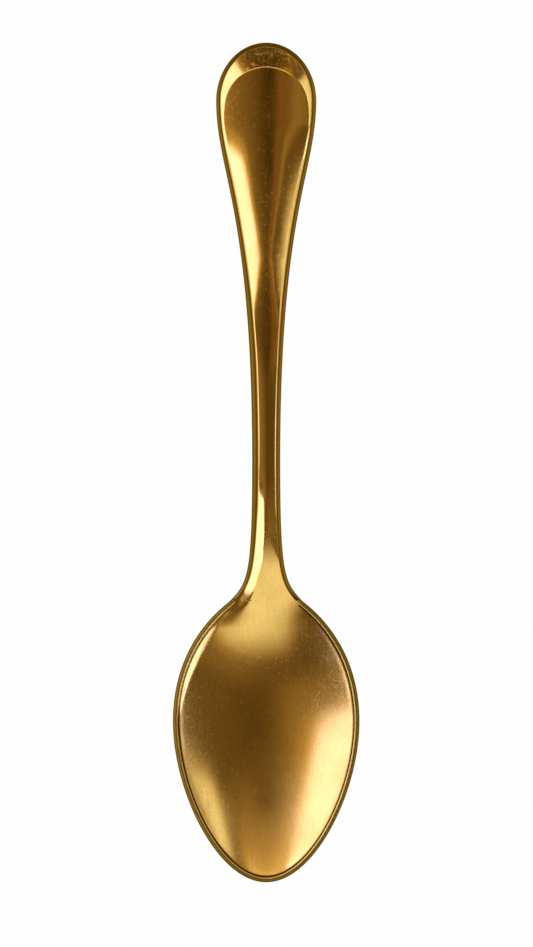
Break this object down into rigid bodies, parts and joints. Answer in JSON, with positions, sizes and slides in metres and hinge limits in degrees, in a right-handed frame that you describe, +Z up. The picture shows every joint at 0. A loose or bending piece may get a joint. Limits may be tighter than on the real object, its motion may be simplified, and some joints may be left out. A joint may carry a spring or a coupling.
{
  "type": "incense spoon",
  "caption": "Incense spoon in satin gold brass: an oval dished bowl with a wired lip, brazed to a slim arched handle with a round spatulate end, for lifting loose incense.",
  "frame": {"origin": "on the surface the spoon lies on, under the middle of its length and on its plane of symmetry", "axes": "+Y along the spoon towards the end of the handle, +Z up out of the open bowl, +X to the right"},
  "size_m": [0.031, 0.14, 0.0161],
  "materials": {
    "handle_brass": "satin polished gold tone, fine hairline scratches",
    "bowl_brass": "satin polished gold tone, hairlines brushed towards the tip",
    "rim_brass": "filed lengthwise, darker in its grain",
    "braze_filler": "matt brazing filler, filed flush"
  },
  "bodies": {
    "root": {"handle": "handle_brass", "bowl": "bowl_brass", "bowl_rim": "rim_brass", "braze_film": "braze_filler"}
  },
  "joints": []
}
